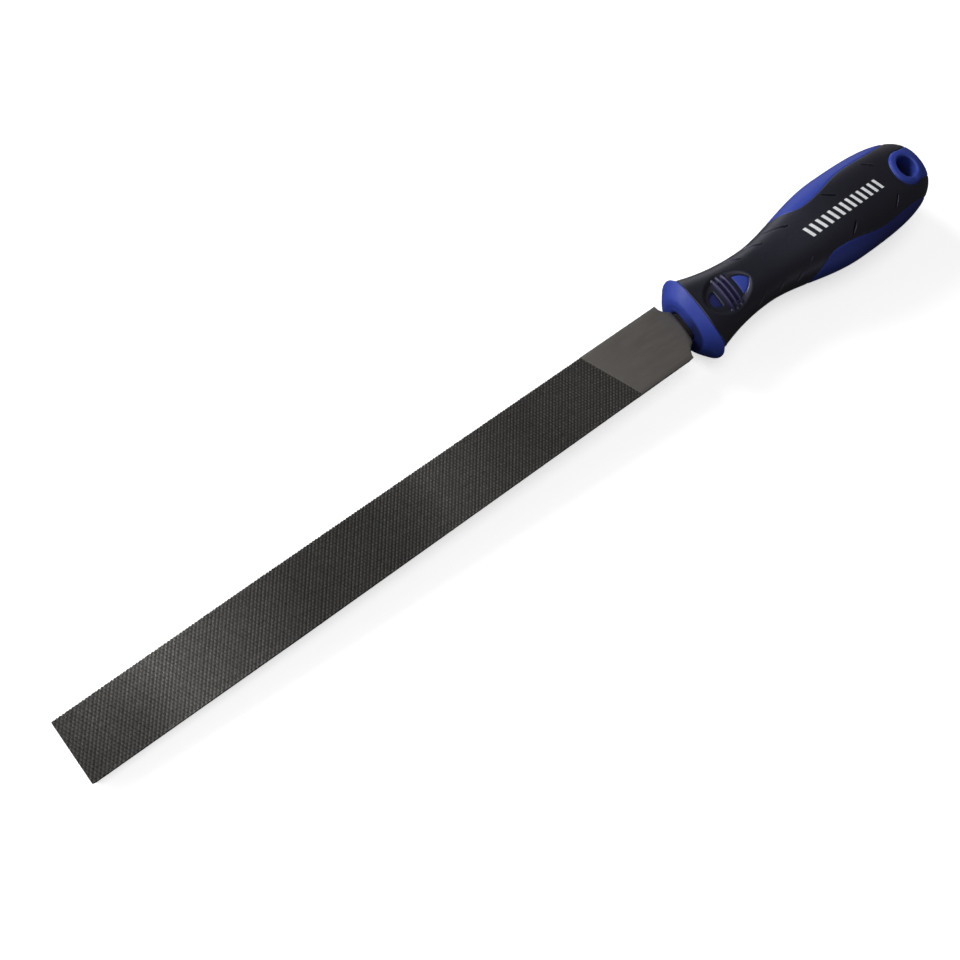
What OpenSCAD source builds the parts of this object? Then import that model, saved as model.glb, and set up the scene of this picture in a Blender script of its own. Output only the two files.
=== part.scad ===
// Flat file, 200 mm, with a two-component moulded handle.
// One forged and hardened steel piece (cut body, bare heel, shoulders and tang)
// is pressed into a hard plastic handle core; a soft grip is moulded over the core.
// Frame: origin at the centre of the hanging hole, on the mid plane of the steel.
// +X runs along the tool towards the butt, +Y across the width, +Z out of the upper face.
// All x values below are measured from the shoulder line; from_hole() moves each piece
// to the origin. "Front" is the tip side, "rear" the butt side.

/* [Steel body] */
// Cut length plus bare heel, tip face to shoulder line
body_len = 202; // [150:1:260]
// Width over the parallel part
body_w = 19.4; // [19:0.1:20.4]
// Width at the tip face
tip_w = 18.8; // [17.8:0.1:19]
// Thickness over the parallel part
body_t = 5; // [4.6:0.1:5.6]
// Thickness at the tip face
tip_t = 4.4; // [3.4:0.1:4.6]
// Length of the slight taper behind the tip face
taper_len = 62; // [30:1:100]

/* [Tang] */
// Tang width where it leaves the shoulders
tang_w = 9.4; // [8.4:0.1:9.8]
// Tang thickness where it enters the handle
tang_t = 4.3; // [3.6:0.1:4.5]
// Tang length measured from the shoulder line
tang_len = 68; // [52:1:76]
// Tang width at its point
tang_end_w = 3.2; // [2:0.1:4.5]
// Tang thickness at its point
tang_end_t = 2.0; // [1.2:0.1:3]
// Radius of the concave fillets under the shoulders
shoulder_r = 4.0; // [3.6:0.1:4.1]
// Clearance of the tang in its socket
socket_gap = 0.05; // [0.03:0.01:0.2]

/* [Handle outline] */
// Front face of the collar behind the shoulder line
collar_x = 4.5; // [4.2:0.1:5]
// Crest of the collar at its sides
crest_x = 9.0; // [8.8:0.1:10.2]
// Width over the collar crest
collar_w = 28.5; // [26:0.1:31]
// Thickness over the collar crest
collar_t = 18.8; // [18:0.1:23]
// Width of the flat nose of the collar
nose_w = 17.6; // [15:0.1:20]
// Thickness of the flat nose of the collar
nose_t = 14; // [11:0.1:15]
// Position of the waist
neck_x = 34; // [31:0.5:37]
// Width at the waist
neck_w = 18.5; // [16.6:0.1:20]
// Thickness at the waist
neck_t = 17.2; // [15.6:0.1:19]
// Position of the widest part of the palm swell
belly_x = 71.5; // [67:0.5:75]
// Width of the palm swell
belly_w = 29.3; // [26:0.1:32]
// Thickness of the palm swell
belly_t = 24.4; // [22:0.1:27]
// End of the handle behind the shoulder line
butt_x = 106; // [105:0.1:108]

/* [Grip] */
// Wall of the soft grip over the core
grip_wall = 2.0; // [1.6:0.1:2.4]
// Depth of the dished thumb rest in the grip
dish_depth = 1.0; // [0.5:0.1:1.2]
// Depth of the hard floor seen in the middle of the thumb rest
thumb_depth = 1.5; // [1.3:0.1:1.5]
// Pitch of the three ribs across the thumb rest
rib_pitch = 1.9; // [1.7:0.05:2.1]
// Width of one rib
rib_w = 1.1; // [0.8:0.05:1.2]
// Depth of the relief slits
slit_depth = 0.8; // [0.4:0.1:1.2]
// Width of the relief slits at mid length
slit_w = 0.8; // [0.5:0.1:1.2]

/* [Hanging hole] */
// Diameter of the hanging hole
hole_d = 7.6; // [5.6:0.1:8.2]
// Position of the hanging hole behind the shoulder line
hole_x = 95; // [93:0.1:96.6]
// Outer diameter of the ring round the hole
ring_d = 12.7; // [12.2:0.1:15]

/* [Hidden] */
$fn = 48;
gap = 0.04;               // gap kept between core and grip
reach = 20;               // half size of cutters that pass right through the handle

// ---- Helpers ----

function signed_pow(value, power) = sign(value) * pow(abs(value), power);
function ease(u) = 0.5 - 0.5 * cos(180 * min(1, max(0, u)));
function mix(from, to, u) = from + (to - from) * u;
function steps(from, to, count, first = 0) = [for (k = [first : count]) mix(from, to, k / count)];

// shift from the shoulder line to the hanging hole
module from_hole() translate([-hole_x, 0, 0]) children();

// outlines extruded along Z or Y, centred on the axis
module plan_slab(half) translate([0, 0, -half]) linear_extrude(height = 2 * half) children();
module side_slab(half)
    translate([0, half, 0]) rotate([90, 0, 0]) linear_extrude(height = 2 * half) children();
module through() plan_slab(reach) children();

// polygon closed by the mirror image of one edge in the X axis
module mirrored_outline(edge)
    polygon(concat(edge, [for (i = [len(edge) - 1 : -1 : 0]) [edge[i].x, -edge[i].y]]));

// ---- Handle envelope ----

ring_points = 32;         // points round one section
squareness = 2.25;        // superellipse exponent of the sections
flare_x = crest_x + 1.1;  // end of the steep back of the collar
flare_ref_x = 11;         // where the flare has its full rise
flare_pow = 2.1;
flare_rise_y = 3.43;
flare_rise_z = 0.6;
nose_pow = 0.82;          // roundness from nose to crest
bow_x = 1.3;              // how far the crest wraps forward over the flat faces
swell_pow = 0.94;         // how late the palm swell rises from the waist
end_y = 3.1;              // fullness of the butt, seen from above
end_z = 3.3;              // fullness of the butt, seen from the side
flare_stations = [12.6, 15.4, 19, 23.5, 28.5];
butt_steps = 11;
butt_divisor = 11.6;      // above butt_steps, so the last ring has a size
butt_pow = 0.92;

// half size at x of a skin lying depth inside the handle;
// sizes: full size at the nose, crest, waist and palm swell
function half_size(x, depth, sizes, rise, fullness) =
    let (halves = [for (size = sizes) size / 2 - depth],
         nose = halves[0], crest = halves[1], neck = halves[2], belly = halves[3],
         end_x = butt_x - depth)
    x <= crest_x ? mix(nose, crest, pow((x - collar_x) / (crest_x - collar_x), nose_pow)) :
    x <= flare_x ? mix(crest, neck + flare(flare_x, rise), (x - crest_x) / (flare_x - crest_x)) :
    x <= neck_x ? neck + flare(x, rise) :
    x <= belly_x ? mix(neck, belly, ease(pow((x - neck_x) / (belly_x - neck_x), swell_pow))) :
    belly * pow(1 - pow((x - belly_x) / (end_x - belly_x), fullness), 1 / fullness);
function flare(x, rise) = rise * pow((neck_x - x) / (neck_x - flare_ref_x), flare_pow);

// forward shift of a section at the middle of the flat faces
function bow(x) = bow_x * (x <= crest_x ? (x - collar_x) / (crest_x - collar_x)
                                        : 1 - ease((x - crest_x) / (neck_x - crest_x)));

function ring(x, depth) =
    let (half_y = half_size(x, depth, [nose_w, collar_w, neck_w, belly_w], flare_rise_y, end_y),
         half_z = half_size(x, depth, [nose_t, collar_t, neck_t, belly_t], flare_rise_z, end_z))
    [for (j = [0 : ring_points - 1])
        let (angle = 360 * (j + 0.5) / ring_points,
             across = signed_pow(cos(angle), 2 / squareness),
             up = signed_pow(sin(angle), 2 / squareness))
        [x - bow(x) * (1 - across * across), half_y * across, half_z * up]];

// stations from collar to butt; an inner skin starts one station behind the nose
function stations(depth) = concat(
    steps(collar_x, crest_x, 4, first = depth > 0 ? 1 : 0),
    [mix(crest_x, flare_x, 0.5), flare_x],
    flare_stations,
    [neck_x],
    steps(neck_x, belly_x, 9, first = 1),
    [for (k = [1 : butt_steps])
        mix(belly_x, butt_x - depth, pow(sin(90 * k / butt_divisor), butt_pow))]);

// closed skin through a list of equal rings
module skin(rings) {
    count = len(rings[0]);
    last = len(rings) - 1;
    polyhedron(
        points = [for (r = rings) each r],
        faces = concat(
            [[for (j = [0 : count - 1]) j]],
            [for (i = [0 : last - 1]) for (j = [0 : count - 1])
                let (here = i * count, next = here + count, k = (j + 1) % count)
                each [[here + j, next + j, here + k], [here + k, next + j, next + k]]],
            [[for (j = [count - 1 : -1 : 0]) last * count + j]]));
}

module envelope(depth) skin([for (x = stations(depth)) ring(x, depth)]);

// ---- Plan regions where the hard core reaches the surface ----

collar_rim = 0.35;        // collar behind its crest, on the axis
collar_sweep = 3.3;       // further rearward sweep of its edge at y = collar_sweep_y
collar_sweep_y = 12.9;
collar_edge_y = 15;       // half length of the edge drawn
// inner edge of the side panels: x, y
panel_edge = [[48, 11.5], [57.5, 8.5], [78, 11.3], [91, 10.7], [100, 11.0]];
panel_end_x = 102;
ring_inset = 0.4;         // open end of the ring region, narrower on each side

module collar_plan(margin) polygon(concat(
    [[0, reach], [0, -reach]],
    [for (y = steps(-collar_edge_y, collar_edge_y, 24))
        [crest_x - bow_x + collar_rim + collar_sweep * pow(y / collar_sweep_y, 4) + margin, y]]));

function panel_y(x, i = 0) =
    let (start = panel_edge[i], end = panel_edge[i + 1])
    i < len(panel_edge) - 2 && x >= end.x ? panel_y(x, i + 1)
        : mix(start.y, end.y, ease((x - start.x) / (end.x - start.x)));

module panel_plan(margin) {
    start_x = panel_edge[0].x - margin;
    end_x = panel_end_x + margin;
    polygon(concat([for (x = steps(start_x, end_x, 24)) [x, panel_y(x) - margin]],
        [[end_x, reach], [start_x, reach]]));
}

// octagon round the hanging hole, open towards the butt
module ring_plan(margin) {
    rotate(22.5) circle(r = (ring_d / 2 + margin) / cos(22.5), $fn = 8);
    half_w = ring_d / 2 - ring_inset + margin;
    translate([0, -half_w]) square([reach, 2 * half_w]);
}

module hard_regions(margin) {
    through() collar_plan(margin);
    through() panel_plan(margin);
    mirror([0, 1, 0]) through() panel_plan(margin);
    translate([hole_x, 0, 0]) through() ring_plan(margin);
}

// ---- Thumb rest ----

dish_x = 19;
dish_front = 9.0;         // dish length ahead of dish_x
dish_rear = 8.9;          // dish length behind dish_x
dish_half_w = 6.4;
dish_narrowing = 0.12;    // share of width lost towards the rear
dish_points = 24;
pad_x = [12.1, 20, 28.3]; // pad start, widest point, end
pad_half_w = 4.4;
front_window_x = [12.4, 15.5];
front_window_half_w = 2.8;
rear_window_x = [23.4, 27.6];
rear_window_half_w = 3.5;
rib_x = 19.4;             // middle rib
rib_len = 16;
slot_len = 8.2;

// half widths at x: elliptic front end, and rear end narrowing by a power
function front_edge(x, wide_x, length, half_w) = half_w * sqrt(1 - pow((wide_x - x) / length, 2));
function rear_edge(x, wide_x, length, half_w, power) =
    half_w * (1 - pow((x - wide_x) / length, power));

// drop-shaped dish
module dish_plan() polygon([for (k = [0 : dish_points - 1])
    let (angle = 360 * k / dish_points, along = cos(angle))
    [dish_x + (along < 0 ? dish_front : dish_rear) * along,
     dish_half_w * sin(angle) * (1 - dish_narrowing * max(0, along))]]);

// raised pad of the core under the middle of the dish
function pad_y(x) = x < pad_x[1]
    ? front_edge(x, wide_x = pad_x[1], length = 8.2, half_w = pad_half_w)
    : rear_edge(x, wide_x = pad_x[1], length = 8.6, half_w = pad_half_w, power = 3);
module pad_plan(margin) {
    count = 18;
    mirrored_outline([for (k = [0 : count]) let (x = mix(pad_x[0], pad_x[2], k / count))
        [x + (k == 0 ? -margin : k == count ? margin : 0), pad_y(x) + margin]]);
}

// windows in the grip down to the pad: one at each end, two slots between the ribs
module window_plan() {
    mirrored_outline([for (x = steps(front_window_x[0], front_window_x[1], 8))
        [x, front_edge(x, wide_x = front_window_x[1], length = 3.2,
                       half_w = front_window_half_w)]]);
    mirrored_outline([for (x = steps(rear_window_x[0], rear_window_x[1], 10))
        [x, rear_edge(x, wide_x = rear_window_x[0], length = 4.4,
                      half_w = rear_window_half_w, power = 1.8)]]);
    slot_w = rib_pitch - rib_w;
    for (k = [-0.5, 0.5])
        translate([rib_x + k * rib_pitch - slot_w / 2, -slot_len / 2]) square([slot_w, slot_len]);
}

module rib_plan()
    for (k = [-1 : 1])
        translate([rib_x + k * rib_pitch - rib_w / 2, -rib_len / 2]) square([rib_w, rib_len]);

// ---- Relief slits ----

// one side of the handle: start x, start y, end x, end y
slits = [[26.6, 8.4, 30.2, 6.3], [35.6, 8.4, 39.0, 6.4], [43.4, 8.8, 49.0, 6.2],
         [64.2, 7.9, 67.3, 4.9], [82.6, 8.9, 85.5, 5.8]];

// thin lozenge between two points
module slit_plan(slit) {
    run = [slit[2] - slit[0], slit[3] - slit[1]];
    near = 0.3 * norm(run);
    far = 0.75 * norm(run);
    near_half = slit_w / 2;
    far_half = slit_w / 2.4;
    translate([slit[0], slit[1]]) rotate(atan2(run.y, run.x))
        polygon([[0, 0], [near, -near_half], [far, -far_half],
                 [norm(run), 0], [far, far_half], [near, near_half]]);
}

// ---- Steel ----

root_x = collar_x - 0.2;  // where the tang leaves the shoulders
fillet_x = shoulder_r + 0.05;
fillet_y = body_w / 2 + 0.05;
corner_x = 0.9;           // rear end of the full width, before the fillet is cut
chord_r = shoulder_r + 0.1; // outline point between corner and root, from the fillet centre
chord_angle = 66;
full_t_x = 2.2;           // rear end of the full thickness

// tapered tang, grown by margin for its socket
module tang_solid(start_x, end_x, margin) intersection() {
    plan_slab(6) mirrored_outline([[start_x, -tang_w / 2 - margin],
                                   [end_x + margin, -tang_end_w / 2 - margin]]);
    side_slab(8) mirrored_outline([[start_x, -tang_t / 2 - margin],
                                   [end_x + margin, -tang_end_t / 2 - margin]]);
}

// half of the body and shoulders in plan, side = 1 or -1
module half_body_plan(side) polygon([
    [-body_len, 0],
    [-body_len, side * tip_w / 2],
    [-body_len + taper_len, side * body_w / 2],
    [0, side * body_w / 2],
    [corner_x, side * body_w / 2],
    [fillet_x - chord_r * cos(chord_angle), side * (fillet_y - chord_r * sin(chord_angle))],
    [root_x, side * tang_w / 2],
    [root_x, 0]]);

module blade() color([0.36, 0.36, 0.35]) from_hole() {
    intersection() {
        difference() {
            plan_slab(4) {
                half_body_plan(1);
                half_body_plan(-1);
            }
            for (side = [-1, 1])
                translate([fillet_x, side * fillet_y, -5]) cylinder(r = shoulder_r, h = 10);
        }
        side_slab(15) mirrored_outline([[-body_len, -tip_t / 2],
            [-body_len + taper_len, -body_t / 2], [full_t_x, -body_t / 2], [root_x, -tang_t / 2]]);
    }
    tang_solid(root_x, tang_len, 0);
}

// ---- Handle ----

// hard plastic: collar, spine, side panels, thumb pads, ring round the hanging hole
module handle_core() color([0.17, 0.22, 0.58]) from_hole() difference() {
    union() {
        envelope(grip_wall);
        intersection() {
            envelope(0);
            hard_regions(0);
        }
        intersection() {
            envelope(thumb_depth);
            through() pad_plan(0.01);
        }
    }
    translate([hole_x, 0, -reach]) cylinder(d = hole_d, h = 2 * reach);
    // socket, open at the front and longer than the tang
    tang_solid(collar_x - 2, tang_len + 1.5, socket_gap);
}

// soft grip moulded over the core: open at the collar, panels, thumb rests and ring
module grip_sleeve() color([0.10, 0.10, 0.12]) from_hole() difference() {
    envelope(0);
    envelope(grip_wall - gap);
    hard_regions(gap);
    through() window_plan();
    intersection() {
        envelope(thumb_depth - gap);
        through() pad_plan(gap);
    }
    // dish, with the ribs left standing
    difference() {
        through() difference() {
            dish_plan();
            rib_plan();
        }
        envelope(dish_depth);
    }
    difference() {
        through() for (slit = slits) {
            slit_plan(slit);
            mirror([0, 1]) slit_plan(slit);
        }
        envelope(slit_depth);
    }
}

blade();
handle_core();
grip_sleeve();
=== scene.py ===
# Flat file with a two-part handle, a hard blue core under a soft black grip, around the packed
# CAD frame. The frame is in metres: X runs from the tip (-X) to the butt (+X), Y across the
# width, Z through the thickness. Its origin is the centre of the hanging hole.
# Shapes are drawn in millimetres with x = 0 at the shoulder line, where the bare steel ends.
import math
import numpy as np
import bpy
import bmesh
from mathutils import Matrix, Vector


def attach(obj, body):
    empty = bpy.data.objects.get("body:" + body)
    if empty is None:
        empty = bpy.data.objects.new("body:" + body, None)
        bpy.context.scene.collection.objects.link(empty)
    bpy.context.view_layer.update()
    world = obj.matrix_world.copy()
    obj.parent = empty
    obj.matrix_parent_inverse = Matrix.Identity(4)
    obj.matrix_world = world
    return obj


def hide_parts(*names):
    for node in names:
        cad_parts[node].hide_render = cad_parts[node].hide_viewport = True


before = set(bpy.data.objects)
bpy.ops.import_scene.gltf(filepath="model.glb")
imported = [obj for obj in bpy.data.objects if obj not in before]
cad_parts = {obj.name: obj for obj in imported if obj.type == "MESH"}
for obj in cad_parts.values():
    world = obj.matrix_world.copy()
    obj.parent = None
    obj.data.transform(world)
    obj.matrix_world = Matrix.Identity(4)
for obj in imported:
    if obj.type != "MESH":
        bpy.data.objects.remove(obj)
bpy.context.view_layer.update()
MM = 0.001

# ------------------------------------------------------------------ sizes (mm)
# steel body, tapering over its last stretch towards the tip
BODY_LENGTH, BODY_WIDTH, BODY_THICK = 202.0, 19.4, 5.0
TIP_WIDTH, TIP_THICK, TAPER_LENGTH = 18.8, 4.4, 62.0
TAPER_X = TAPER_LENGTH - BODY_LENGTH
# tang inside the handle
TANG_WIDTH, TANG_THICK, TANG_LENGTH = 9.4, 4.3, 68.0
TANG_END_WIDTH, TANG_END_THICK = 3.2, 2.0
# handle stations from the flat nose to the butt, and the full sizes there
NOSE_X, NOSE_WIDTH, NOSE_THICK = 4.5, 17.6, 14.0
CREST_X, CREST_WIDTH, CREST_THICK = 9.0, 28.5, 18.8
FLARE_X, FLARE_UNIT_X = 10.1, 11.0     # start of the flare; where it has its nominal height
NECK_X, NECK_WIDTH, NECK_THICK = 34.0, 18.5, 17.2
BELLY_X, BELLY_WIDTH, BELLY_THICK = 71.5, 29.3, 24.4
BUTT_X = 106.0
SECTION_POWER = 2.25                   # superellipse exponent of the cross section
CREST_BOW = 1.3                        # how far the crest bows towards the tip
GRIP_WALL, GRIP_GAP = 2.0, 0.04
HOLE_X, HOLE_RADIUS, RING_WIDTH = 95.0, 3.8, 12.7
# thumb rest: three ribs across an oval dish
THUMB_X, RIB_X, RIB_PITCH, RIB_HALF = 19.0, 19.4, 1.9, 0.55
TIP_WINDOW_X = (12.4, 15.5)
BUTT_WINDOW_X = (23.4, 27.6)
ORIGIN = np.array([HOLE_X, 0.0, 0.0])
SHARP_ANGLE = math.radians(48)


# ------------------------------------------------------------------ mesh helpers
def make_object(name, verts, faces, materials, face_materials=None, smooth=True):
    mesh = bpy.data.meshes.new(name)
    points = (np.asarray(verts, float) - ORIGIN) * MM
    mesh.from_pydata([tuple(p) for p in points], [], [tuple(int(i) for i in f) for f in faces])
    for material in materials:
        mesh.materials.append(material)
    if face_materials is not None:
        mesh.polygons.foreach_set("material_index", np.asarray(face_materials, dtype=np.int32))
    mesh.polygons.foreach_set("use_smooth", np.full(len(mesh.polygons), smooth))
    mesh.update()
    ob = bpy.data.objects.new(name, mesh)
    bpy.context.scene.collection.objects.link(ob)
    return ob


def face_outwards(bm, sharp_angle=None):
    """Turns the normals outwards and splits the shading at edges sharper than the angle."""
    bmesh.ops.recalc_face_normals(bm, faces=bm.faces)
    if sharp_angle is not None:
        for edge in bm.edges:
            if len(edge.link_faces) == 2:
                edge.smooth = edge.calc_face_angle(0.0) < sharp_angle


def clean(ob, merge_dist, sharp_angle=None):
    bm = bmesh.new()
    bm.from_mesh(ob.data)
    bmesh.ops.remove_doubles(bm, verts=bm.verts, dist=merge_dist)
    bmesh.ops.dissolve_degenerate(bm, edges=bm.edges, dist=1e-7)
    loose = [v for v in bm.verts if not v.link_faces]
    bmesh.ops.delete(bm, geom=loose, context="VERTS")
    face_outwards(bm, sharp_angle)
    bm.to_mesh(ob.data)
    bm.free()
    ob.data.update()


def merge(pieces):
    """Joins (vertices, faces) pieces into one pair."""
    faces, offset = [], 0
    for verts, piece_faces in pieces:
        faces += [tuple(int(i) + offset for i in f) for f in piece_faces]
        offset += len(verts)
    return np.concatenate([verts for verts, _ in pieces]), faces


def index_grid(rows, columns):
    return np.arange(rows * columns).reshape(rows, columns)


def grid_quads(grid, turned=False):
    """Quads of a grid of vertex numbers; turned ones run the other way round."""
    quads = np.stack([grid[:-1, :-1], grid[1:, :-1], grid[1:, 1:], grid[:-1, 1:]], -1)
    quads = quads.reshape(-1, 4)
    return quads[:, [0, 3, 2, 1]] if turned else quads


def share(x, start, end):
    """0..1 position of x between two stations"""
    return np.clip((x - start) / (end - start), 0, 1)


def smoothstep(u):
    u = np.clip(u, 0.0, 1.0)
    return u * u * (3 - 2 * u)


def ease(u):
    return 0.5 - 0.5 * np.cos(np.pi * np.clip(u, 0, 1))


def signed_power(value, power):
    return np.sign(value) * np.abs(value) ** (2 / power)


# ------------------------------------------------------------------ handle envelope
def raw_outline(x, nose, crest, flare, neck, belly, butt_power):
    """Half size along the handle: nose to crest, step down, flare to neck, swell, butt."""
    def flared(at):
        return neck + flare * np.maximum(0.0, (NECK_X - at) / (NECK_X - FLARE_UNIT_X)) ** 2.1

    rise = nose + (crest - nose) * share(x, NOSE_X, CREST_X) ** 0.82
    step = crest + (flared(FLARE_X) - crest) * share(x, CREST_X, FLARE_X)
    swell = neck + (belly - neck) * ease(share(x, NECK_X, BELLY_X) ** 0.94)
    closing = np.maximum(0.0, 1 - share(x, BELLY_X, BUTT_X) ** butt_power)
    return np.select([x <= CREST_X, x <= FLARE_X, x <= NECK_X, x <= BELLY_X],
                     [rise, step, flared(x), swell], belly * closing ** (1 / butt_power))


# (weight, shift along x) of the samples that soften the outline
SOFTENING = ((0.1, -0.2), (0.2, -0.1), (0.4, 0.0), (0.2, 0.1), (0.1, 0.2))


def outline(x, **sizes):
    """The raw outline with its two corners at the collar eased over half a millimetre."""
    raw = raw_outline(x, **sizes)
    soft = sum(weight * raw_outline(x + shift, **sizes) for weight, shift in SOFTENING)
    mask = np.clip((x - NOSE_X - 0.6) / 0.8, 0, 1) * np.clip((16 - x) / 2, 0, 1)
    return raw + (soft - raw) * mask


def half_y(x):
    return outline(x, nose=NOSE_WIDTH / 2, crest=CREST_WIDTH / 2, flare=3.43,
                   neck=NECK_WIDTH / 2, belly=BELLY_WIDTH / 2, butt_power=3.1)


def half_z(x):
    return outline(x, nose=NOSE_THICK / 2, crest=CREST_THICK / 2, flare=0.6,
                   neck=NECK_THICK / 2, belly=BELLY_THICK / 2, butt_power=3.3)


def bow(x):
    """How far a section's middle is pulled towards the tip."""
    return np.where(x <= CREST_X, CREST_BOW * share(x, NOSE_X, CREST_X),
                    CREST_BOW * (1 - ease((x - CREST_X) / (NECK_X - CREST_X))))


def envelope(x, angle):
    """Points of the outer surface at station x and section angle (radians from +Y)."""
    across = signed_power(np.cos(angle), SECTION_POWER)
    height = signed_power(np.sin(angle), SECTION_POWER)
    return np.stack([x - bow(x) * (1 - across ** 2), half_y(x) * across, half_z(x) * height], -1)


def top_height(x, y):
    """Height of the outer surface over a plan point, valid on the butt side of the collar."""
    station = x
    for _ in range(12):
        across = np.clip(np.abs(y) / half_y(station), 0, 1)
        station = x + bow(station) * (1 - across * across)
    across = np.clip(np.abs(y) / half_y(station), 0, 1)
    return half_z(station) * np.maximum(0, 1 - across ** SECTION_POWER) ** (1 / SECTION_POWER)


# ------------------------------------------------------------------ plan regions
# Each gives an approximate distance in mm from the region's outline, positive inside.
PANEL_X = (48, 102)
# (x, half width left to the black grip between the two blue side panels)
PANEL_EDGE = [(48, 11.5), (57.5, 8.5), (78, 11.3), (91, 10.7), (100, 11.0)]
COLLAR_HALF, COLLAR_SWEEP = 12.9, 3.3   # the collar's edge sweeps back towards the sides


def panel_edge(x):
    y = PANEL_EDGE[0][1]
    for (x_start, y_start), (x_end, y_end) in zip(PANEL_EDGE, PANEL_EDGE[1:]):
        y = y + (y_end - y_start) * ease((x - x_start) / (x_end - x_start))
    return y


def curve_slope(curve, x):
    return (curve(x + 0.05) - curve(x - 0.05)) / 0.1


def in_collar(x, y):
    across = np.abs(y) / COLLAR_HALF
    slope = 4 * COLLAR_SWEEP / COLLAR_HALF * across ** 3
    edge = CREST_X - CREST_BOW + 0.35 + COLLAR_SWEEP * across ** 4
    return (edge - x) / np.sqrt(1 + np.minimum(slope, 3) ** 2)


def in_panels(x, y):
    beside = (np.abs(y) - panel_edge(x)) / np.sqrt(1 + curve_slope(panel_edge, x) ** 2)
    return np.minimum(beside, np.minimum(x - PANEL_X[0], PANEL_X[1] - x))


def in_octagon(x, y):
    """Eight-sided outline with generous corners around the hanging hole."""
    dx, dy = np.abs(x - HOLE_X), np.abs(y)
    diagonals = (0.7071 * (dx + dy)) ** 5 + (0.7071 * np.abs(dx - dy)) ** 5
    return RING_WIDTH / 2 * 1.06 - (dx ** 5 + dy ** 5 + diagonals) ** 0.2


def in_ring(x, y):
    """The octagon, left open towards the butt."""
    opening = np.minimum(x - HOLE_X, RING_WIDTH / 2 - 0.4 - np.abs(y))
    return np.maximum(in_octagon(x, y), opening)


def in_thumb(x, y):
    dx = x - THUMB_X
    radius_x = np.where(dx < 0, 9.0, 8.9)
    radius_y = 6.4 * np.where(dx > 0, 1 - 0.12 * np.clip(dx / radius_x, -1, 1), 1.0)
    level = np.sqrt((dx / radius_x) ** 2 + (y / radius_y) ** 2)
    slope = np.sqrt((dx / radius_x ** 2) ** 2 + (y / radius_y ** 2) ** 2)
    slope = slope / np.maximum(level, 1e-6)
    return (1 - level) / np.maximum(slope, 1e-6)


def in_rib(x):
    return RIB_HALF - np.min([np.abs(x - (RIB_X + k * RIB_PITCH)) for k in (-1, 0, 1)], axis=0)


def tip_window_edge(x):
    drop = np.clip(TIP_WINDOW_X[1] - x, 0, 4) / 3.2
    return 2.8 * np.sqrt(np.maximum(0, 1 - drop ** 2))


def butt_window_edge(x):
    return 3.5 * (1 - (np.clip(x - BUTT_WINDOW_X[0], 0, 6) / 4.4) ** 1.8)


def in_windows(x, y):
    """Openings of the thumb rest: one at each end and two slots between the ribs."""
    gap_mid = RIB_PITCH / 2
    off_slot = np.minimum(np.abs(x - (RIB_X - gap_mid)), np.abs(x - (RIB_X + gap_mid)))
    inside = np.minimum(gap_mid - RIB_HALF - off_slot, 4.1 - np.abs(y))
    for edge, (start, end) in ((tip_window_edge, TIP_WINDOW_X), (butt_window_edge, BUTT_WINDOW_X)):
        steepness = np.minimum(curve_slope(edge, x) ** 2, 9.0)
        under = (edge(x) - np.abs(y)) / np.sqrt(1 + steepness)
        inside = np.maximum(inside, np.minimum(under, np.minimum(x - start, end - x)))
    return inside


def in_blue(x, y):
    return np.maximum(np.maximum(in_collar(x, y), in_panels(x, y)),
                      np.maximum(in_ring(x, y), in_windows(x, y)))


# relief slits in the grip: x and |y| of the start, x and |y| of the end, width
SLITS = [(26.0, 8.9, 30.4, 6.2, 1.05), (35.0, 8.8, 39.2, 6.3, 1.1), (42.7, 9.25, 49.2, 6.1, 1.4),
         (64.2, 7.9, 67.3, 4.9, 0.8), (82.6, 8.9, 85.5, 5.8, 0.8)]


def slit_frames(x, y):
    """Yields per slit: position along it, distance off its line, length, width, start x."""
    for x1, y1, x2, y2, width in SLITS:
        length = math.hypot(x2 - x1, y2 - y1)
        ux, uy = (x2 - x1) / length, (y2 - y1) / length
        dx, dy = x - x1, np.abs(y) - y1
        yield dx * ux + dy * uy, np.abs(dy * ux - dx * uy), length, width, x1


def slit_cut(x, y):
    """0..1 share of the slit depth; the slits nearer the neck are faint on the -Y side."""
    cut = np.zeros_like(x)
    for along, off, length, width, start_x in slit_frames(x, y):
        u = np.clip(along / length, 0, 1)
        half = 0.5 * width * np.sqrt(np.maximum(0, 4 * u * (1 - u))) ** 0.8
        depth = np.where((y < 0) & (start_x < 50), 0.14, 1.0)
        depth = depth * (1 - (off / np.maximum(half, 1e-6)) ** 1.6)
        cut = np.maximum(cut, np.where((along > 0) & (along < length) & (off < half), depth, 0))
    return cut


def slit_distance(x, y):
    return np.min([np.hypot(along - np.clip(along, 0, length), off)
                   for along, off, length, _, _ in slit_frames(x, y)], axis=0)


# ------------------------------------------------------------------ triangle helpers
def edges_of(face):
    a, b, c = face
    return (a, b), (b, c), (c, a)


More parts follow.
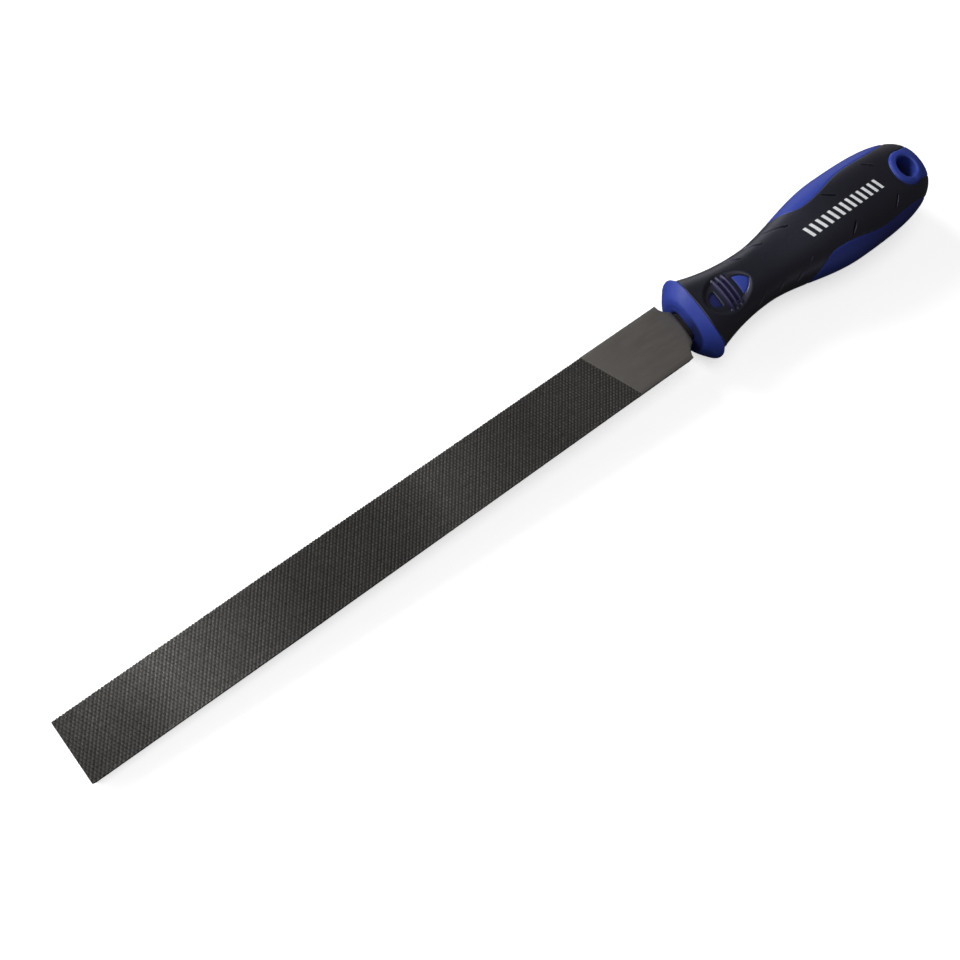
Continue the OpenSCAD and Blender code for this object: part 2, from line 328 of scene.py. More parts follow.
def refine(params, faces, marked):
    """Halves the edges of all triangles with a marked corner; the mesh stays conforming."""
    mids = {}
    for face in faces[marked[faces].any(1)]:
        for a, b in edges_of(face):
            mids[(min(a, b), max(a, b))] = -1
    keys = np.array(list(mids.keys()))
    for i, key in enumerate(map(tuple, keys)):
        mids[key] = len(params) + i
    params = np.concatenate([params, 0.5 * (params[keys[:, 0]] + params[keys[:, 1]])])
    out = []
    for face in faces:
        corners = tuple(face)
        halves = tuple(mids.get((min(p, q), max(p, q)), -1) for p, q in edges_of(face))
        count = sum(h >= 0 for h in halves)
        # turn the triangle so that its odd edge comes first
        turn = 0
        if count in (1, 2):
            turn = next(i for i in range(3) if (halves[i] >= 0) == (count == 1))
        a, b, c = corners[turn:] + corners[:turn]
        ab, bc, ca = halves[turn:] + halves[:turn]
        if count == 0:
            out.append((a, b, c))
        elif count == 1:
            out += [(a, ab, c), (ab, b, c)]
        elif count == 2:
            out += [(a, b, bc), (a, bc, ca), (ca, bc, c)]
        else:
            out += [(a, ab, ca), (ab, b, bc), (ca, bc, c), (ab, bc, ca)]
    return params, np.array(out)


def split(params, faces, level):
    """Cuts triangles where level changes sign.

    Returns the points, the faces inside, those outside, and the level at all points.
    """
    level = np.where(np.abs(level) < 1e-4, 0.0, level)
    sign = np.sign(level)
    cuts, cut_params = {}, []

    def cut(a, b):
        key = (min(a, b), max(a, b))
        if key not in cuts:
            cuts[key] = len(params) + len(cut_params)
            at = level[a] / (level[a] - level[b])
            cut_params.append(params[a] + (params[b] - params[a]) * at)
        return cuts[key]

    inside, outside = [], []
    mixed = (sign[faces].max(1) > 0) & (sign[faces].min(1) < 0)
    for face in faces[~mixed]:
        (inside if sign[face].sum() > 0 else outside).append(tuple(face))
    for face in faces[mixed]:
        for wanted, bag in ((1, inside), (-1, outside)):
            polygon = []
            for a, b in edges_of(face):
                if sign[a] * wanted >= 0:
                    polygon.append(a)
                if sign[a] * sign[b] < 0:
                    polygon.append(cut(a, b))
            for i in range(1, len(polygon) - 1):
                bag.append((polygon[0], polygon[i], polygon[i + 1]))
    return (np.concatenate([params, np.array(cut_params)]), np.array(inside),
            np.array(outside), np.concatenate([level, np.zeros(len(cut_params))]))


# ------------------------------------------------------------------ node helpers
class Nodes:
    """Adds nodes to one tree; most methods return the new node's output socket."""

    def __init__(self, tree):
        self.tree = tree

    def add(self, kind):
        return self.tree.nodes.new("ShaderNode" + kind)

    def feed(self, socket, value):
        """Links a socket, or sets a number or an RGB colour."""
        if isinstance(value, bpy.types.NodeSocket):
            self.tree.links.new(value, socket)
        else:
            socket.default_value = (*value, 1) if isinstance(value, tuple) else value

    def coords(self, scale=(1, 1, 1)):
        mapping = self.add("Mapping")
        mapping.inputs["Scale"].default_value = scale
        self.feed(mapping.inputs["Vector"], self.add("TexCoord").outputs["Object"])
        return mapping.outputs[0]

    def position(self):
        """The x, y and z sockets of the object coordinates (metres)."""
        separate = self.add("SeparateXYZ")
        self.feed(separate.inputs[0], self.add("TexCoord").outputs["Object"])
        return separate.outputs

    def noise(self, vector, scale, detail=3.0, roughness=0.55):
        noise = self.add("TexNoise")
        for key, value in (("Scale", scale), ("Detail", detail), ("Roughness", roughness),
                           ("Vector", vector)):
            self.feed(noise.inputs[key], value)
        return noise.outputs["Fac"]

    def ramp(self, factor, *stops):
        """Grey ramp through (position, value) stops."""
        ramp = self.add("ValToRGB")
        elements = ramp.color_ramp.elements
        while len(elements) < len(stops):
            elements.new(0.5)
        for element, (position, value) in zip(elements, stops):
            element.position = position
            element.color = (value, value, value, 1)
        self.feed(ramp.inputs[0], factor)
        return ramp.outputs[0]

    def mix(self, under, over, amount, mode="MIX"):
        mix = self.add("Mix")
        mix.data_type = "RGBA"
        mix.blend_type = mode
        for index, value in ((0, amount), (6, under), (7, over)):
            self.feed(mix.inputs[index], value)
        return mix.outputs[2]

    def tint(self, under, over):
        return self.mix(under, over, amount=1.0, mode="MULTIPLY")

    def math(self, operation, *values):
        math_node = self.add("Math")
        math_node.operation = operation
        for index, value in enumerate(values):
            self.feed(math_node.inputs[index], value)
        return math_node.outputs[0]

    def plus(self, a, b):
        return self.math("ADD", a, b)

    def times(self, a, b):
        return self.math("MULTIPLY", a, b)

    def along(self, x, start, scale):
        """Position along x from a start (mm, from the shoulder line), times a scale per metre."""
        return self.times(self.plus(x, (HOLE_X - start) * MM), scale)

    def radius(self, x, y):
        return self.math("SQRT", self.plus(self.times(x, x), self.times(y, y)))

    def worn_edges(self, base, colour, start, end, amount):
        """Lays a colour over convex edges, fading in between two pointiness values."""
        pointiness = self.add("NewGeometry").outputs["Pointiness"]
        edge = self.ramp(pointiness, (start, 0.0), (end, 1.0))
        return self.mix(base, colour, amount=self.times(edge, amount))

    def bump(self, height, strength, distance, normal=None):
        bump = self.add("Bump")
        bump.inputs["Strength"].default_value = strength
        bump.inputs["Distance"].default_value = distance
        self.feed(bump.inputs["Height"], height)
        if normal is not None:
            self.feed(bump.inputs["Normal"], normal)
        return bump.outputs[0]

    def surface(self, values):
        """Sets inputs of the material's Principled node by name."""
        for key, value in values.items():
            self.feed(self.principled.inputs[key], value)


def new_material(name):
    material = bpy.data.materials.new(name)
    material.use_nodes = True
    n = Nodes(material.node_tree)
    n.tree.nodes.clear()
    output = n.add("OutputMaterial")
    n.principled = n.add("BsdfPrincipled")
    n.feed(output.inputs[0], n.principled.outputs[0])
    return material, n


# ------------------------------------------------------------------ materials
# Ramp stops are (position, value). A scale of 100 or 10 per metre makes one unit 10 or 100 mm.
def steel_cut():
    material, n = new_material("steel_cut")
    place = n.coords()
    patches = n.noise(place, scale=28, detail=2)
    grain = n.noise(place, scale=900)
    streaks = n.noise(n.coords(scale=(6, 90, 90)), scale=14)
    base = n.mix(under=(0.068, 0.066, 0.062), over=(0.100, 0.097, 0.092),
                 amount=n.ramp(patches, (0.35, 0.0), (0.7, 1.0)))
    base = n.mix(base, over=(0.110, 0.106, 0.100), amount=n.ramp(streaks, (0.3, 0.0), (0.75, 0.55)))
    base = n.mix(base, over=(0.035, 0.034, 0.032), amount=n.ramp(grain, (0.35, 0.0), (0.8, 0.5)))
    base = n.worn_edges(base, colour=(0.26, 0.25, 0.24), start=0.50, end=0.60, amount=0.25)
    # painted light and shade along the blade: a brighter stretch behind the tip, darker stretches
    # further back; 0 tip, 1 shoulder
    x = n.position()[0]
    wander = n.times(n.math("SUBTRACT", patches, 0.5), 0.10)
    at = n.plus(n.along(x, start=-BODY_LENGTH, scale=1.0 / (BODY_LENGTH * MM)), wander)
    painted_light_along_blade = n.ramp(at, (0.0, 0.42), (0.07, 0.52), (0.15, 0.78), (0.24, 0.58), (0.34, 0.36),
                  (0.46, 0.34), (0.56, 0.58), (0.68, 0.40), (0.86, 0.42))
    base = n.tint(base, painted_light_along_blade)
    base = n.tint(base, over=(2.0, 2.0, 2.0))
    n.surface({"Base Color": base, "Metallic": 0.80,
               "Roughness": n.ramp(grain, (0.2, 0.55), (0.8, 0.74)),
               "Normal": n.bump(grain, strength=0.35, distance=0.00006)})
    return material


def steel_plain():
    material, n = new_material("steel_plain")
    place = n.coords()
    patches = n.noise(place, scale=60)
    grind = n.noise(n.coords(scale=(40, 900, 60)), scale=3.0, detail=4, roughness=0.7)
    grain = n.noise(place, scale=1400, detail=2)
    base = n.mix(under=(0.172, 0.161, 0.147), over=(0.206, 0.193, 0.176),
                 amount=n.ramp(patches, (0.3, 0.0), (0.75, 1.0)))
    base = n.mix(base, over=(0.227, 0.213, 0.196), amount=n.ramp(grind, (0.3, 0.0), (0.8, 0.55)))
    # heat colours and scale fading in towards the tang root
    x = n.position()[0]
    wander = n.times(patches, 0.004)
    at = n.times(n.plus(n.plus(x, HOLE_X * MM), wander), 100.0)
    base = n.mix(base, over=(0.184, 0.167, 0.151), amount=n.ramp(at, (0.26, 0.0), (0.52, 0.85)))
    base = n.worn_edges(base, colour=(0.30, 0.29, 0.28), start=0.52, end=0.62, amount=0.5)
    # painted shade where the steel enters the handle
    mouth = n.ramp(n.along(x, start=0, scale=100.0), (0.29, 0.0), (0.36, 0.85))
    base = n.mix(base, over=(0.055, 0.049, 0.044), amount=mouth)
    scratches = n.bump(grind, strength=0.12, distance=0.00005)
    n.surface({"Base Color": base, "Metallic": 0.85,
               "Roughness": n.ramp(grind, (0.25, 0.44), (0.8, 0.60)),
               "Normal": n.bump(grain, strength=0.15, distance=0.00003, normal=scratches)})
    return material


def blue_plastic():
    material, n = new_material("blue_plastic")
    place = n.coords()
    patches = n.noise(place, scale=35, detail=2)
    grain = n.noise(place, scale=2600, detail=2)
    flow = n.noise(n.coords(scale=(20, 120, 120)), scale=4)
    base = n.mix(under=(0.024, 0.043, 0.270), over=(0.031, 0.054, 0.325),
                 amount=n.ramp(patches, (0.3, 0.0), (0.75, 1.0)))
    base = n.mix(base, over=(0.045, 0.072, 0.33), amount=n.ramp(flow, (0.45, 0.0), (0.85, 0.25)))
    base = n.worn_edges(base, colour=(0.08, 0.12, 0.48), start=0.52, end=0.66, amount=0.35)
    x, y, z = n.position()
    # dust and shade in the deep end of the thumb rest and between its ribs
    pit = n.ramp(n.along(x, start=10.0, scale=50.0),
                 (0.03, 0.0), (0.06, 1.0), (0.60, 1.0), (0.68, 0.0))
    base = n.mix(base, over=(0.008, 0.006, 0.030), amount=n.times(pit, 0.72))
    # painted shade on the -Y side panel, growing towards the butt
    painted_side_shade = n.ramp(n.along(x, start=0, scale=10.0),
                  (0.45, 0.0), (0.55, 0.2), (0.66, 0.5), (0.80, 1.0))
    across = n.plus(n.times(y, 50.0), 0.5)
    painted_side_shade = n.times(painted_side_shade, n.ramp(across, (0.10, 1.0), (0.20, 0.0)))
    base = n.mix(base, over=n.tint(base, over=(0.62, 0.42, 0.44)), amount=painted_side_shade)
    # painted shade on the wall of the hanging hole, strongest deep inside
    hole = HOLE_RADIUS / 10.0
    painted_bore_shade = n.ramp(n.times(n.radius(x, y), 100.0), (hole + 0.004, 1.0), (hole + 0.030, 0.0))
    deep = n.ramp(n.times(n.math("ABSOLUTE", z), 50.0), (0.24, 1.0), (0.38, 0.0))
    base = n.mix(base, over=(0.024, 0.020, 0.085), amount=n.times(n.times(painted_bore_shade, deep), 0.80))
    # shade on the flat nose, towards -Y
    nose = n.times(n.ramp(n.along(x, start=0, scale=100.0), (0.455, 1.0), (0.485, 0.0)),
                   n.ramp(n.plus(n.times(y, 50.0), 0.5), (0.38, 1.0), (0.60, 0.0)))
    base = n.mix(base, over=(0.004, 0.006, 0.028), amount=n.times(nose, 0.8))
    fine_bump = n.bump(grain, strength=0.10, distance=0.00003)
    n.surface({"Base Color": base, "Roughness": n.ramp(patches, (0.2, 0.42), (0.8, 0.52)),
               "IOR": 1.49, "Specular IOR Level": 0.27,
               "Normal": n.bump(flow, strength=0.06, distance=0.0002, normal=fine_bump)})
    return material


def black_grip():
    material, n = new_material("black_grip")
    place = n.coords()
    patches = n.noise(place, scale=45)
    grain = n.noise(place, scale=1700, roughness=0.65)
    dust = n.noise(place, scale=420, detail=4, roughness=0.7)
    base = n.mix(under=(0.0034, 0.0033, 0.0060), over=(0.0066, 0.0065, 0.0112),
                 amount=n.ramp(patches, (0.3, 0.0), (0.75, 1.0)))
    base = n.mix(base, over=(0.020, 0.020, 0.027), amount=n.ramp(dust, (0.62, 0.0), (0.82, 0.30)))
    base = n.worn_edges(base, colour=(0.045, 0.045, 0.058), start=0.52, end=0.66, amount=0.4)
    # painted shade in hollows such as the slits, which also lowers the gloss there
    painted_cavity_shade = n.ramp(n.add("NewGeometry").outputs["Pointiness"], (0.40, 1.0), (0.485, 0.0))
    base = n.mix(base, over=(0.0012, 0.0012, 0.0020), amount=painted_cavity_shade)
    # the ribs of the thumb rest are drawn lighter and bluer
    x, y, _ = n.position()
    off_x = n.math("ABSOLUTE", n.plus(x, (HOLE_X - RIB_X) * MM))
    rib_tint = n.times(n.ramp(n.times(off_x, 100.0), (0.22, 1.0), (0.34, 0.0)),
                   n.ramp(n.times(n.math("ABSOLUTE", y), 100.0), (0.38, 1.0), (0.60, 0.0)))
    base = n.mix(base, over=(0.016, 0.014, 0.058), amount=n.times(rib_tint, 0.85))
    n.surface({"Base Color": base, "Roughness": n.ramp(grain, (0.25, 0.38), (0.8, 0.50)),
               "Specular IOR Level": n.math("SUBTRACT", 0.80, n.times(painted_cavity_shade, 0.55)),
               "Specular Tint": (0.75, 0.775, 1.0),
               "Sheen Weight": 0.02, "Sheen Roughness": 0.5,
               "Normal": n.bump(grain, strength=0.42, distance=0.00008)})
    return material


def white_ink():
    material, n = new_material("white_ink")
    place = n.coords()
    worn = n.noise(place, scale=1500, roughness=0.7)
    patches = n.noise(place, scale=260, detail=2)
    base = n.mix(under=(0.84, 0.85, 0.87), over=(0.70, 0.71, 0.74),
                 amount=n.ramp(patches, (0.3, 0.0), (0.8, 0.5)))
    base = n.mix(base, over=(0.22, 0.22, 0.24), amount=n.ramp(worn, (0.66, 0.0), (0.80, 0.7)))
    n.surface({"Base Color": base, "Roughness": 0.6,
               "Normal": n.bump(worn, strength=0.15, distance=0.00003)})
    return material


CUT_STEEL, PLAIN_STEEL = steel_cut(), steel_plain()
BLUE, BLACK, INK = blue_plastic(), black_grip(), white_ink()


# ------------------------------------------------------------------ handle surface relief
# Offsets in mm along the outward normal, from surface points and their distance into blue.
def rounded(inset, reach, depth):
    """Rounds an edge off over its reach."""
    return -depth * np.clip(1 - inset / reach, 0, 1) ** 2


def grip_relief(points, blue):
    x, y = points[:, 0], points[:, 1]
    inset = np.maximum(-blue, 0)
    thumb, rib = in_thumb(x, y), in_rib(x)
    # dished thumb rest, deeper to the tip and with softer banks to the butt
    bank = 1.5 + 0.6 * smoothstep((x - 16) / 6) + 0.7 * smoothstep((x - 21) / 6)
    dish = -(1.0 + 0.25 * smoothstep((19 - x) / 6)) * smoothstep((thumb + 0.35) / bank)
    # ribs with rounded tops stand up from its floor and fade out at its rim
    rib_top = -0.18 + rounded(rib, 0.52, 0.42)
    rest = np.where(rib > 0, np.maximum(rib_top, dish), dish)
    faded = dish + (rest - dish) * smoothstep((thumb + 0.2) / 0.7)
    rest = np.where(thumb < 0.5, faded, rest) + rounded(inset, 0.35, 0.12) * (rib <= 0)
    relief = np.where(thumb > -0.36, rest, rounded(inset, 0.45, 0.22))
    return relief - 0.95 * slit_cut(x, y)


def core_relief(points, blue):
    x, y = points[:, 0], points[:, 1]
    window = in_windows(x, y)
    # sunk floor seen through the windows, deeper towards the tip
    floor = -(0.6 + 1.15 * smoothstep((27.4 - x) / 9.0)) - 0.12 * np.clip(1 - window / 0.5, 0, 1)
    sunk = (window > -0.06) & (in_collar(x, y) < 0) & (x > 12.2) & (x < 27.9)
    relief = np.where(sunk, floor, rounded(np.maximum(blue, 0), 0.5, 0.2))
    # raised ring with a rounded rim around the hanging hole
    lift = 0.42 * smoothstep(in_octagon(x, y) / 0.9)
    rim = rounded(np.maximum(np.hypot(x - HOLE_X, y) - HOLE_RADIUS, 0), 0.6, 0.5)
    return relief + np.where(x > 80, lift + rim, 0)


# ------------------------------------------------------------------ handle skin, upper half
# Points are kept as parameters (station x, section angle); the lower half is a mirror copy.
def profile_stations(count):
    """Stations evenly spread along the profile, closer together at the collar."""
    dense_x = 94
    x = np.concatenate([np.linspace(NOSE_X, dense_x, 1500),
                        BUTT_X - (BUTT_X - dense_x) * (1 - np.linspace(0, 1, 900)) ** 2.6])
    size = np.sqrt(half_y(x) * half_z(x))
    steps = np.hypot(np.diff(x), np.diff(size)) * (1 + 2.2 * (x[1:] < 12.5))
    length = np.concatenate([[0], np.cumsum(steps)])
    return np.interp(np.linspace(0, length[-1], count), length, x)


def start_grid():
    rows, columns = ((262, 112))
    station, angle = np.meshgrid(profile_stations(rows), np.linspace(0, np.pi, columns),
                                 indexing="ij")
    quads = grid_quads(index_grid(rows, columns))
    # diagonals alternate like a chessboard
    odd = (np.add.outer(np.arange(rows - 1), np.arange(columns - 1)) % 2).ravel().astype(bool)
    faces = np.concatenate([quads[~odd][:, [0, 1, 2]], quads[~odd][:, [0, 2, 3]],
                            quads[odd][:, [0, 1, 3]], quads[odd][:, [1, 2, 3]]])
    return np.stack([station.ravel(), angle.ravel()], 1), faces


def plan(params):
    return envelope(params[:, 0], params[:, 1])[:, :2].T


def needs_detail(params):
    """Points near a colour border, the thumb rest, a slit or the hole's edge."""
    x, y = plan(params)
    near = (np.abs(in_blue(x, y)) < 0.42) | (in_thumb(x, y) > -0.4)
    near |= slit_distance(x, y) < 0.8
    near |= np.abs(np.hypot(x - HOLE_X, y) - HOLE_RADIUS) < 0.7
    return near & (params[:, 0] < BUTT_X - 0.6)


def near_slit(params):
    return (slit_distance(*plan(params)) < 0.62) & (params[:, 0] < BUTT_X - 0.6)


def surface_frame(params):
    """Envelope points and outward normals, from small steps in both parameters."""
    x, angle = params[:, 0], params[:, 1]
    points = envelope(x, angle)
    step = 0.02
    around = envelope(x, angle + step) - envelope(x, angle - step)
    along = (envelope(np.minimum(x + step, BUTT_X), angle)
             - envelope(np.maximum(x - step, NOSE_X), angle))
    normals = np.cross(around, along)
    lengths = np.linalg.norm(normals, axis=1)
    flat_spot = lengths < 1e-9
    normals[flat_spot] = (1, 0, 0)
    lengths[flat_spot] = 1
    normals = normals / lengths[:, None]
    # outward is away from the axis, or also along +X at the butt
    outward = np.stack([np.where(x > BUTT_X - 1, 1.0, 0.0), points[:, 1], points[:, 2]], 1)
    sign = np.sign((normals * outward).sum(1))
    normals = normals * np.where(sign == 0, 1, sign)[:, None]
    normals[x > BUTT_X - 0.02] = (1, 0, 0)
    normals[np.abs(np.sin(angle)) < 1e-6, 2] = 0
    return points, normals / np.linalg.norm(normals, axis=1)[:, None]


params, faces = start_grid()
params, faces = refine(params, faces, needs_detail(params))
params, faces = refine(params, faces, near_slit(params))
params, blue_faces, black_faces, blue_level = split(params, faces, in_blue(*plan(params)))
x, y = plan(params)
params, _, blue_faces, _ = split(params, blue_faces, HOLE_RADIUS - np.hypot(x - HOLE_X, y))
skin, normals = surface_frame(params)
added = skin[len(blue_level):]
blue_level = np.concatenate([blue_level, in_blue(added[:, 0], added[:, 1])])
on_hole = np.abs(np.hypot(skin[:, 0] - HOLE_X, skin[:, 1]) - HOLE_RADIUS) < 0.03
on_middle = (params[:, 1] < 1e-9) | (params[:, 1] > np.pi - 1e-9)
on_nose = params[:, 0] < NOSE_X + 1e-6
# borders that need no wall: the mirror plane, the butt pole and the nose
no_wall = np.stack([on_middle, params[:, 0] > BUTT_X - 1e-6, on_nose])


def offset_skin(amount):
    """The skin moved along its normals; the middle line stays on the mirror plane."""
    moved = skin + normals * np.reshape(amount, (-1, 1))
    moved[on_middle, 2] = 0
    return moved


def open_edges(faces):
    """Directed border edges that need a wall."""
    used = dict.fromkeys(edge for face in faces for edge in edges_of(face))
    return [(a, b) for a, b in used
            if (b, a) not in used and not (no_wall[:, a] & no_wall[:, b]).any()]


def wall(edges, top, bottom):
    count = len(top)
    return np.concatenate([top, bottom]), [(i, j, j + count, i + count) for i, j in edges]


def with_mirror(pieces):
    verts, faces = merge(pieces)
    return merge([(verts, faces), (verts * [1, 1, -1.0], [f[::-1] for f in faces])])


# ------------------------------------------------------------------ hard core
def nose_and_socket(visible):
    """Rings from the nose edge inwards, then down the socket that takes the tang."""
    angles = np.sort(params[on_nose][:, 1])
    power = 3.2
    edge_ring = visible[on_nose]
    edge_ring = edge_ring[np.argsort(edge_ring[:, 1])[::-1]]

    def socket_ring(half_width, half_thick, x):
        height = signed_power(np.sin(angles), power)
        height[[0, -1]] = 0
        return np.stack([np.full_like(angles, x),
                         half_width * signed_power(np.cos(angles), power),
                         half_thick * height], 1)

    face_x = NOSE_X - 0.02
    tang_y, tang_z = TANG_WIDTH / 2, TANG_THICK / 2
    mouth = socket_ring(tang_y + 0.75, tang_z + 0.7, face_x)
    face_ring = edge_ring.copy()
    face_ring[:, 0] = face_x
    rings = [edge_ring] + [face_ring * (1 - u) + mouth * u for u in (0.12, 0.35, 0.65, 0.9)]
    rings.append(socket_ring(tang_y + 0.62, tang_z + 0.57, NOSE_X + 0.1))
    rings.append(socket_ring(tang_y + 0.16, tang_z + 0.12, NOSE_X + 0.75))
    start_x, end_x, clearance = NOSE_X + 1.4, TANG_LENGTH + 1.2, 0.1
    for u in (0.0, 0.5, 1.0):
        x = start_x + (end_x - start_x) * u
        down = (x - NOSE_X) / (TANG_LENGTH - NOSE_X)
        width = TANG_WIDTH + (TANG_END_WIDTH - TANG_WIDTH) * down
        thick = TANG_THICK + (TANG_END_THICK - TANG_THICK) * down
        rings.append(socket_ring(max(0.3, width / 2 + clearance),
                                 max(0.3, thick / 2 + clearance), x))
    grid = index_grid(len(rings), len(angles))
    return np.concatenate(rings), [*grid_quads(grid, turned=True), grid[-1]]


def build_core():
    nose_round = 0.2 * np.exp(-(params[:, 0] - NOSE_X) / 0.35)
    visible = offset_skin(core_relief(skin, blue_level) - nose_round)
    hidden = offset_skin(-GRIP_WALL)
    edges = open_edges(blue_faces)
    hole_edges = [(a, b) for a, b in edges if on_hole[a] and on_hole[b]]
    seam_edges = [(a, b) for a, b in edges if not (on_hole[a] and on_hole[b])]
    verts, faces = with_mirror([
        (visible, blue_faces),
        (hidden, black_faces),
        wall(seam_edges, visible, hidden),
        wall(hole_edges, visible, skin * [1, 1, 0.0]),
        nose_and_socket(visible)])
    ob = make_object("handle_core_shape", verts, faces, [BLUE])
    clean(ob, 2e-6, SHARP_ANGLE)
    return ob


# ------------------------------------------------------------------ soft grip
def build_grip():
    outer = offset_skin(grip_relief(skin, blue_level))
    inner = offset_skin(GRIP_GAP - GRIP_WALL)
    verts, faces = with_mirror([(outer, black_faces), (inner, black_faces[:, ::-1]),
                                wall(open_edges(black_faces), outer, inner)])
    ob = make_object("grip_sleeve_shape", verts, faces, [BLACK])
    clean(ob, 2e-6, SHARP_ANGLE)
    return ob


# ------------------------------------------------------------------ printed hatch bars
BAR_COUNT, BAR_START_X, BAR_PITCH, BAR_WIDTH = 13, 51.9, 2.4, 1.05
BAR_Y, BAR_SLANT = (-1.5, 2.4), -0.36
INK_ABOVE, INK_BELOW = 0.035, 0.06     # top and bottom of the ink about the grip surface


def hatch_bar(start_x):
    columns, rows = 5, 9
    low, high = BAR_Y
    i, j = (part.ravel() for part in np.mgrid[:columns, :rows])
    y = low + (high - low) * j / (rows - 1)
    x = start_x + BAR_WIDTH * i / (columns - 1) + BAR_SLANT * (y - 0.5 * (low + high))
    z = top_height(x, y)
    verts = np.concatenate([np.stack([x, y, z + INK_ABOVE], 1), np.stack([x, y, z - INK_BELOW], 1)])
    grid, under = index_grid(columns, rows), columns * rows
    rim = [*grid[:, 0], *grid[-1, 1:], *grid[-2::-1, -1], *grid[0, -2:0:-1]]
    sides = [(a, b, under + b, under + a) for a, b in zip(rim, rim[1:] + rim[:1])]
    return verts, [*grid_quads(grid), *(grid_quads(grid, turned=True) + under), *sides]


def build_mark():
    verts, faces = merge([hatch_bar(BAR_START_X + BAR_PITCH * k) for k in range(BAR_COUNT)])
    ob = make_object("print_mark", verts, faces, [INK], smooth=False)
    clean(ob, 1e-7)
    return ob


# ------------------------------------------------------------------ steel: cut body
# the two crossed sets of grooves, in lines per mm along x and y
OVERCUT, UPCUT = (0.833, -0.660), (1.125, 0.465)
GROOVE_DEPTH = 0.23
# the cut ends on a slanted seam between these plan points
SEAM_A = np.array([-29.35, BODY_WIDTH / 2])
SEAM_B = np.array([-20.45, -BODY_WIDTH / 2])
EDGE_TOOTH_PITCH, EDGE_TOOTH_DEPTH = 0.92, 0.30


def tapered(x, tip, full):
    return full if x > TAPER_X else tip + (full - tip) * (x + BODY_LENGTH) / TAPER_LENGTH


def body_half_width(x):
    return 0.5 * tapered(x, TIP_WIDTH, BODY_WIDTH)


def add_teeth(bm, rng):
    """Adds a field of crossed teeth, larger than the body, on its upper face."""
    groove_of_point = np.array([OVERCUT, UPCUT])
    point_of_groove = np.linalg.inv(groove_of_point)
    reach = BODY_WIDTH / 2 + 2
    corners = np.array([(x, y) for x in (-BODY_LENGTH - 2, -17) for y in (-reach, reach)])
    numbers = corners @ groove_of_point.T
    low = np.floor(numbers.min(0)).astype(int) - 1
    high = np.ceil(numbers.max(0)).astype(int) + 1
    # (shift, depth factor) of every groove
    over = {i: (rng.uniform(-0.045, 0.045), rng.uniform(0.75, 1.1)) for i in range(low[0], high[0])}
    up = {j: (rng.uniform(-0.035, 0.035), rng.uniform(0.82, 1.1)) for j in range(low[1], high[1])}
    made = {}

    def vert(i, j, kind):
        key = (i, j, kind)
        if key not in made:
            over_shift, over_depth = over[i]
            up_shift, up_depth = up[j]
            u, v, z = {
                "crossing": (i + over_shift, j + up_shift,
                             -GROOVE_DEPTH * 0.5 * (over_depth + up_depth)),
                "over": (i + over_shift, j + 0.5, -GROOVE_DEPTH * 0.72 * over_depth),
                "up": (i + 0.5, j + up_shift, -GROOVE_DEPTH * 0.95 * up_depth),
                "point": (i + 0.46, j + 0.24, -0.035 * ((i * 7 + j * 13) % 5) / 4),
                "heel": (i + 0.52, j + 0.66, -GROOVE_DEPTH * 0.42),
            }[kind]
            x, y = point_of_groove @ np.array([u, v])
            made[key] = bm.verts.new((x, y, 0.5 * tapered(x, TIP_THICK, BODY_THICK) + z))
        return made[key]

    for i in range(low[0], high[0] - 1):
        for j in range(low[1], high[1] - 1):
            x, y = point_of_groove @ np.array([i + 0.5, j + 0.5])
            if x < -BODY_LENGTH - 1.6 or x > -17.5 or abs(y) > BODY_WIDTH / 2 + 1.6:
                continue
            c00, c10, c11, c01 = (vert(i + di, j + dj, "crossing")
                                  for di, dj in ((0, 0), (1, 0), (1, 1), (0, 1)))
            a0, a1 = vert(i, j, "over"), vert(i + 1, j, "over")
            b0, b1 = vert(i, j, "up"), vert(i, j + 1, "up")
            point, heel = vert(i, j, "point"), vert(i, j, "heel")
            for face in ((c00, b0, point), (b0, c10, point), (c10, a1, point), (a1, heel, point),
                         (a1, c11, heel), (c11, b1, heel), (b1, c01, heel), (c01, a0, heel),
                         (a0, point, heel), (a0, c00, point)):
                bm.faces.new(face)


def trim_planes():
    """(point, outward normal) of the planes that trim the tooth field to the body's plan."""
    planes = [((-BODY_LENGTH, 0, 0), (-1, 0, 0))]
    dx, dy = SEAM_B - SEAM_A
    planes.append(((*SEAM_A, 0), (-dy / np.hypot(dx, dy), dx / np.hypot(dx, dy), 0)))
    slope = (BODY_WIDTH - TIP_WIDTH) / 2 / TAPER_LENGTH
    for side in (1, -1):
        corner = (TAPER_X, side * BODY_WIDTH / 2, 0)
        planes.append((corner, (0, side, 0)))
        size = math.hypot(slope, 1)
        planes.append((corner, (-slope / size, side / size, 0)))
    return planes


def rim_edges(bm):
    return [edge for edge in bm.edges if len(edge.link_faces) == 1]


def saw(u):
    u -= math.floor(u)
    return u / 0.72 if u < 0.72 else (1 - u) / 0.28


def take_arrays(bm):
    """Vertices and faces of a bmesh, which is freed."""
    bm.verts.index_update()
    verts = np.array([v.co[:] for v in bm.verts])
    faces = [tuple(v.index for v in f.verts) for f in bm.faces]
    bm.free()
    return verts, faces


def triangulate_large(bm):
    bmesh.ops.triangulate(bm, faces=[f for f in bm.faces if len(f.verts) > 4])


